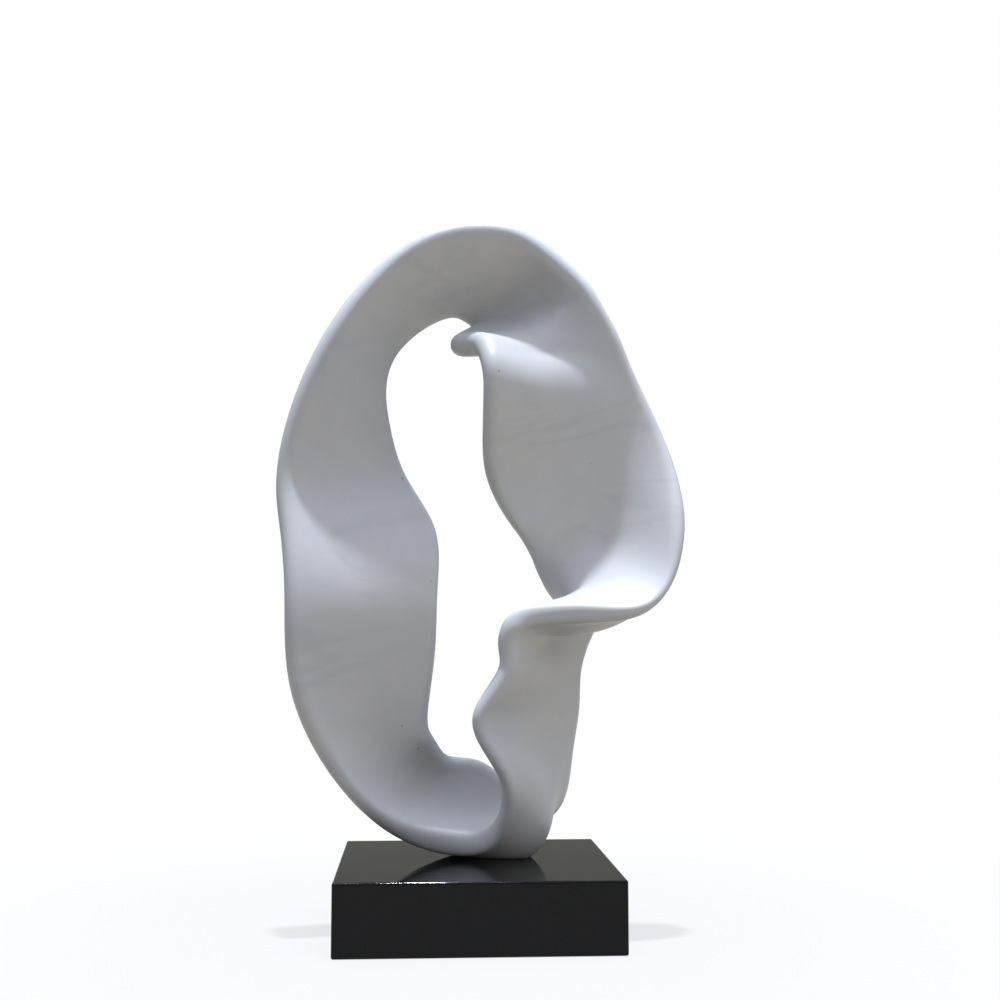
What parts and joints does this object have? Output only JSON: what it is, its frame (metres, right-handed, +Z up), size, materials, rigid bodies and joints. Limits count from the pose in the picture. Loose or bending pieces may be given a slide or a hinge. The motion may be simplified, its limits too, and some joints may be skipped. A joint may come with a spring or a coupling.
{
  "type": "abstract marble sculpture",
  "caption": "Free-standing abstract sculpture: a broad twisting ribbon of pale marble closed into an upright ring around an open middle, standing on a square polished black granite plinth.",
  "frame": {"origin": "centre of the plinth's underside", "axes": "+Z up, -Y towards the front, where the ring is seen open, and +X towards the limb that folds into a ledge"},
  "size_m": [0.4615, 0.3, 0.8019],
  "materials": {
    "marble": "honed pale grey-white marble with faint clouding and a few small dark specks",
    "granite": "polished black granite with softened edges"
  },
  "bodies": {
    "root": {"ribbon": "marble", "plinth": "granite"}
  },
  "joints": []
}
